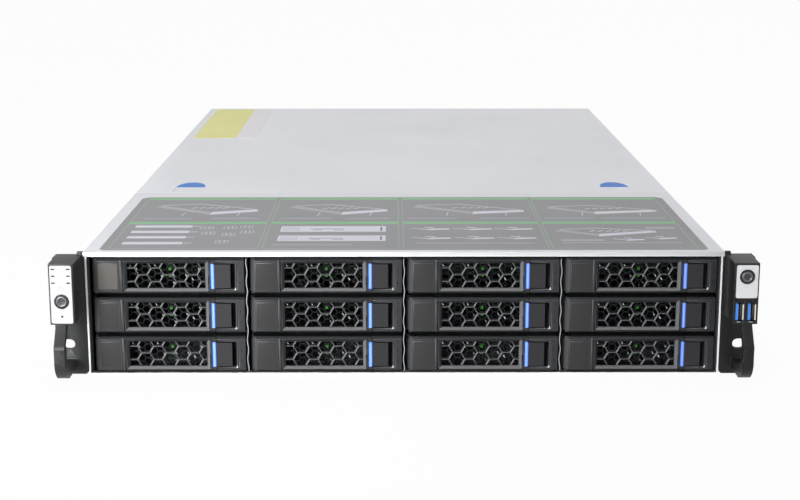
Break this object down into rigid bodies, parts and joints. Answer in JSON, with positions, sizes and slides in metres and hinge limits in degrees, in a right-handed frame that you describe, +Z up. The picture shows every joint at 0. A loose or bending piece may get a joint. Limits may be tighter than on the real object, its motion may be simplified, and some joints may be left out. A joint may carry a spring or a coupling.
{
  "type": "rack server",
  "caption": "Two-unit rack server with hot-swap drive carriers, loop-handled rack ears, a sliding top cover, fan row, main board and pull-out power supplies.",
  "frame": {"origin": "middle of the front edge of the chassis floor, in the plane of the rack ears' front faces", "axes": "+X to the right seen from the front, +Y to the rear, +Z up"},
  "size_m": [0.4826, 0.789, 0.0878],
  "materials": {
    "galvanised_steel": "zinc-coated sheet, fine spangle, satin",
    "cover_steel": "light grey powder coat, fine texture, satin",
    "circuit_board": "green solder mask, semi-gloss",
    "fan_plastic": "black moulded, matt",
    "rotor_plastic": "black moulded, satin",
    "heatsink_aluminium": "plain extruded, satin",
    "module_board": "green solder mask with black chips",
    "slot_steel": "nickel-plated sheet, satin",
    "ear_plastic": "dark grey moulded, fine texture",
    "panel_plate": "white printed film, semi-gloss",
    "port_shell": "plated steel shell",
    "button_cap": "dark cap with a satin metal ring",
    "carrier_plastic": "black moulded, fine texture",
    "bezel_plastic": "black moulded, fine texture",
    "latch_plastic": "dark grey thumb pad beside a bright blue strip",
    "psu_case": "zinc-coated sheet, satin",
    "latch_tab": "dark red moulded tab"
  },
  "bodies": {
    "chassis": {"chassis_tray": "galvanised_steel", "front_cover": "cover_steel", "drive_cage": "galvanised_steel", "backplane": "circuit_board", "fan_frames": "fan_plastic", "motherboard": "circuit_board", "heatsinks": "heatsink_aluminium", "memory_modules": "module_board", "slot_covers": "slot_steel", "left_ear": "ear_plastic", "right_ear": "ear_plastic", "panel_faces": "panel_plate", "usb_ports": "port_shell"},
    "carrier_01": {"carrier_01": "carrier_plastic"},
    "lever_01": {"lever_01": "bezel_plastic"},
    "release_button_01": {"release_button_01": "latch_plastic"},
    "carrier_02": {"carrier_02": "carrier_plastic"},
    "lever_02": {"lever_02": "bezel_plastic"},
    "release_button_02": {"release_button_02": "latch_plastic"},
    "carrier_03": {"carrier_03": "carrier_plastic"},
    "lever_03": {"lever_03": "bezel_plastic"},
    "release_button_03": {"release_button_03": "latch_plastic"},
    "carrier_04": {"carrier_04": "carrier_plastic"},
    "lever_04": {"lever_04": "bezel_plastic"},
    "release_button_04": {"release_button_04": "latch_plastic"},
    "carrier_05": {"carrier_05": "carrier_plastic"},
    "lever_05": {"lever_05": "bezel_plastic"},
    "release_button_05": {"release_button_05": "latch_plastic"},
    "carrier_06": {"carrier_06": "carrier_plastic"},
    "lever_06": {"lever_06": "bezel_plastic"},
    "release_button_06": {"release_button_06": "latch_plastic"},
    "carrier_07": {"carrier_07": "carrier_plastic"},
    "lever_07": {"lever_07": "bezel_plastic"},
    "release_button_07": {"release_button_07": "latch_plastic"},
    "carrier_08": {"carrier_08": "carrier_plastic"},
    "lever_08": {"lever_08": "bezel_plastic"},
    "release_button_08": {"release_button_08": "latch_plastic"},
    "carrier_09": {"carrier_09": "carrier_plastic"},
    "lever_09": {"lever_09": "bezel_plastic"},
    "release_button_09": {"release_button_09": "latch_plastic"},
    "carrier_10": {"carrier_10": "carrier_plastic"},
    "lever_10": {"lever_10": "bezel_plastic"},
    "release_button_10": {"release_button_10": "latch_plastic"},
    "carrier_11": {"carrier_11": "carrier_plastic"},
    "lever_11": {"lever_11": "bezel_plastic"},
    "release_button_11": {"release_button_11": "latch_plastic"},
    "carrier_12": {"carrier_12": "carrier_plastic"},
    "lever_12": {"lever_12": "bezel_plastic"},
    "release_button_12": {"release_button_12": "latch_plastic"},
    "rear_cover": {"rear_cover": "cover_steel"},
    "fan_rotor_1": {"fan_rotor_1": "rotor_plastic"},
    "fan_rotor_2": {"fan_rotor_2": "rotor_plastic"},
    "fan_rotor_3": {"fan_rotor_3": "rotor_plastic"},
    "fan_rotor_4": {"fan_rotor_4": "rotor_plastic"},
    "psu_1": {"psu_1": "psu_case"},
    "psu_latch_1": {"psu_latch_1": "latch_tab"},
    "psu_2": {"psu_2": "psu_case"},
    "psu_latch_2": {"psu_latch_2": "latch_tab"},
    "power_button": {"power_button": "button_cap"},
    "uid_button": {"uid_button": "button_cap"}
  },
  "joints": [
    {"name": "carrier_06_slide", "type": "slide", "parent": "chassis", "child": "carrier_06", "axis": [0, -1, 0], "range_m": [0, 0.175]},
    {"name": "lever_06_swing", "type": "hinge", "parent": "carrier_06", "child": "lever_06", "pos_m": [-0.103, 0.0052, 0.0422], "axis": [0, 0, -1], "range_deg": [0, 75]},
    {"name": "release_button_06_press", "type": "slide", "parent": "carrier_06", "child": "release_button_06", "axis": [1, 0, 0], "range_m": [0, 0.0025], "stiffness_N_per_m": 300, "springref_m": -0.001},
    {"name": "rear_cover_slide", "type": "slide", "parent": "chassis", "child": "rear_cover", "axis": [0, 1, 0], "range_m": [0, 0.54]},
    {"name": "psu_1_slide", "type": "slide", "parent": "chassis", "child": "psu_1", "axis": [0, 1, 0], "range_m": [0, 0.2]},
    {"name": "psu_latch_1_press", "type": "slide", "parent": "psu_1", "child": "psu_latch_1", "axis": [-1, 0, 0], "range_m": [0, 0.003], "stiffness_N_per_m": 400, "springref_m": -0.001},
    {"name": "psu_2_slide", "type": "slide", "parent": "chassis", "child": "psu_2", "axis": [0, 1, 0], "range_m": [0, 0.2]},
    {"name": "psu_latch_2_press", "type": "slide", "parent": "psu_2", "child": "psu_latch_2", "axis": [-1, 0, 0], "range_m": [0, 0.003], "stiffness_N_per_m": 400, "springref_m": -0.001},
    {"name": "power_button_press", "type": "slide", "parent": "chassis", "child": "power_button", "axis": [0, 1, 0], "range_m": [0, 0.0012], "stiffness_N_per_m": 800, "springref_m": -0.0005},
    {"name": "uid_button_press", "type": "slide", "parent": "chassis", "child": "uid_button", "axis": [0, 1, 0], "range_m": [0, 0.0012], "stiffness_N_per_m": 800, "springref_m": -0.0005},
    {"name": "fan_rotor_1_spin", "type": "hinge", "parent": "chassis", "child": "fan_rotor_1", "pos_m": [-0.156, 0.277, 0.0424], "axis": [0, 1, 0], "continuous": true},
    {"name": "fan_rotor_2_spin", "type": "hinge", "parent": "chassis", "child": "fan_rotor_2", "pos_m": [-0.052, 0.277, 0.0424], "axis": [0, 1, 0], "continuous": true},
    {"name": "fan_rotor_3_spin", "type": "hinge", "parent": "chassis", "child": "fan_rotor_3", "pos_m": [0.052, 0.277, 0.0424], "axis": [0, 1, 0], "continuous": true},
    {"name": "fan_rotor_4_spin", "type": "hinge", "parent": "chassis", "child": "fan_rotor_4", "pos_m": [0.156, 0.277, 0.0424], "axis": [0, 1, 0], "continuous": true},
    {"name": "carrier_01_slide", "type": "slide", "parent": "chassis", "child": "carrier_01", "axis": [0, -1, 0], "range_m": [0, 0.175]},
    {"name": "lever_01_swing", "type": "hinge", "parent": "carrier_01", "child": "lever_01", "pos_m": [-0.2115, 0.0052, 0.0702], "axis": [0, 0, -1], "range_deg": [0, 75]},
    {"name": "release_button_01_press", "type": "slide", "parent": "carrier_01", "child": "release_button_01", "axis": [1, 0, 0], "range_m": [0, 0.0025], "stiffness_N_per_m": 300, "springref_m": -0.001},
    {"name": "carrier_02_slide", "type": "slide", "parent": "chassis", "child": "carrier_02", "axis": [0, -1, 0], "range_m": [0, 0.175]},
    {"name": "lever_02_swing", "type": "hinge", "parent": "carrier_02", "child": "lever_02", "pos_m": [-0.103, 0.0052, 0.0702], "axis": [0, 0, -1], "range_deg": [0, 75]},
    {"name": "release_button_02_press", "type": "slide", "parent": "carrier_02", "child": "release_button_02", "axis": [1, 0, 0], "range_m": [0, 0.0025], "stiffness_N_per_m": 300, "springref_m": -0.001},
    {"name": "carrier_03_slide", "type": "slide", "parent": "chassis", "child": "carrier_03", "axis": [0, -1, 0], "range_m": [0, 0.175]},
    {"name": "lever_03_swing", "type": "hinge", "parent": "carrier_03", "child": "lever_03", "pos_m": [0.0055, 0.0052, 0.0702], "axis": [0, 0, -1], "range_deg": [0, 75]},
    {"name": "release_button_03_press", "type": "slide", "parent": "carrier_03", "child": "release_button_03", "axis": [1, 0, 0], "range_m": [0, 0.0025], "stiffness_N_per_m": 300, "springref_m": -0.001},
    {"name": "carrier_04_slide", "type": "slide", "parent": "chassis", "child": "carrier_04", "axis": [0, -1, 0], "range_m": [0, 0.175]},
    {"name": "lever_04_swing", "type": "hinge", "parent": "carrier_04", "child": "lever_04", "pos_m": [0.114, 0.0052, 0.0702], "axis": [0, 0, -1], "range_deg": [0, 75]},
    {"name": "release_button_04_press", "type": "slide", "parent": "carrier_04", "child": "release_button_04", "axis": [1, 0, 0], "range_m": [0, 0.0025], "stiffness_N_per_m": 300, "springref_m": -0.001},
    {"name": "carrier_05_slide", "type": "slide", "parent": "chassis", "child": "carrier_05", "axis": [0, -1, 0], "range_m": [0, 0.175]},
    {"name": "lever_05_swing", "type": "hinge", "parent": "carrier_05", "child": "lever_05", "pos_m": [-0.2115, 0.0052, 0.0422], "axis": [0, 0, -1], "range_deg": [0, 75]},
    {"name": "release_button_05_press", "type": "slide", "parent": "carrier_05", "child": "release_button_05", "axis": [1, 0, 0], "range_m": [0, 0.0025], "stiffness_N_per_m": 300, "springref_m": -0.001},
    {"name": "carrier_07_slide", "type": "slide", "parent": "chassis", "child": "carrier_07", "axis": [0, -1, 0], "range_m": [0, 0.175]},
    {"name": "lever_07_swing", "type": "hinge", "parent": "carrier_07", "child": "lever_07", "pos_m": [0.0055, 0.0052, 0.0422], "axis": [0, 0, -1], "range_deg": [0, 75]},
    {"name": "release_button_07_press", "type": "slide", "parent": "carrier_07", "child": "release_button_07", "axis": [1, 0, 0], "range_m": [0, 0.0025], "stiffness_N_per_m": 300, "springref_m": -0.001},
    {"name": "carrier_08_slide", "type": "slide", "parent": "chassis", "child": "carrier_08", "axis": [0, -1, 0], "range_m": [0, 0.175]},
    {"name": "lever_08_swing", "type": "hinge", "parent": "carrier_08", "child": "lever_08", "pos_m": [0.114, 0.0052, 0.0422], "axis": [0, 0, -1], "range_deg": [0, 75]},
    {"name": "release_button_08_press", "type": "slide", "parent": "carrier_08", "child": "release_button_08", "axis": [1, 0, 0], "range_m": [0, 0.0025], "stiffness_N_per_m": 300, "springref_m": -0.001},
    {"name": "carrier_09_slide", "type": "slide", "parent": "chassis", "child": "carrier_09", "axis": [0, -1, 0], "range_m": [0, 0.175]},
    {"name": "lever_09_swing", "type": "hinge", "parent": "carrier_09", "child": "lever_09", "pos_m": [-0.2115, 0.0052, 0.0142], "axis": [0, 0, -1], "range_deg": [0, 75]},
    {"name": "release_button_09_press", "type": "slide", "parent": "carrier_09", "child": "release_button_09", "axis": [1, 0, 0], "range_m": [0, 0.0025], "stiffness_N_per_m": 300, "springref_m": -0.001},
    {"name": "carrier_10_slide", "type": "slide", "parent": "chassis", "child": "carrier_10", "axis": [0, -1, 0], "range_m": [0, 0.175]},
    {"name": "lever_10_swing", "type": "hinge", "parent": "carrier_10", "child": "lever_10", "pos_m": [-0.103, 0.0052, 0.0142], "axis": [0, 0, -1], "range_deg": [0, 75]},
    {"name": "release_button_10_press", "type": "slide", "parent": "carrier_10", "child": "release_button_10", "axis": [1, 0, 0], "range_m": [0, 0.0025], "stiffness_N_per_m": 300, "springref_m": -0.001},
    {"name": "carrier_11_slide", "type": "slide", "parent": "chassis", "child": "carrier_11", "axis": [0, -1, 0], "range_m": [0, 0.175]},
    {"name": "lever_11_swing", "type": "hinge", "parent": "carrier_11", "child": "lever_11", "pos_m": [0.0055, 0.0052, 0.0142], "axis": [0, 0, -1], "range_deg": [0, 75]},
    {"name": "release_button_11_press", "type": "slide", "parent": "carrier_11", "child": "release_button_11", "axis": [1, 0, 0], "range_m": [0, 0.0025], "stiffness_N_per_m": 300, "springref_m": -0.001},
    {"name": "carrier_12_slide", "type": "slide", "parent": "chassis", "child": "carrier_12", "axis": [0, -1, 0], "range_m": [0, 0.175]},
    {"name": "lever_12_swing", "type": "hinge", "parent": "carrier_12", "child": "lever_12", "pos_m": [0.114, 0.0052, 0.0142], "axis": [0, 0, -1], "range_deg": [0, 75]},
    {"name": "release_button_12_press", "type": "slide", "parent": "carrier_12", "child": "release_button_12", "axis": [1, 0, 0], "range_m": [0, 0.0025], "stiffness_N_per_m": 300, "springref_m": -0.001}
  ]
}
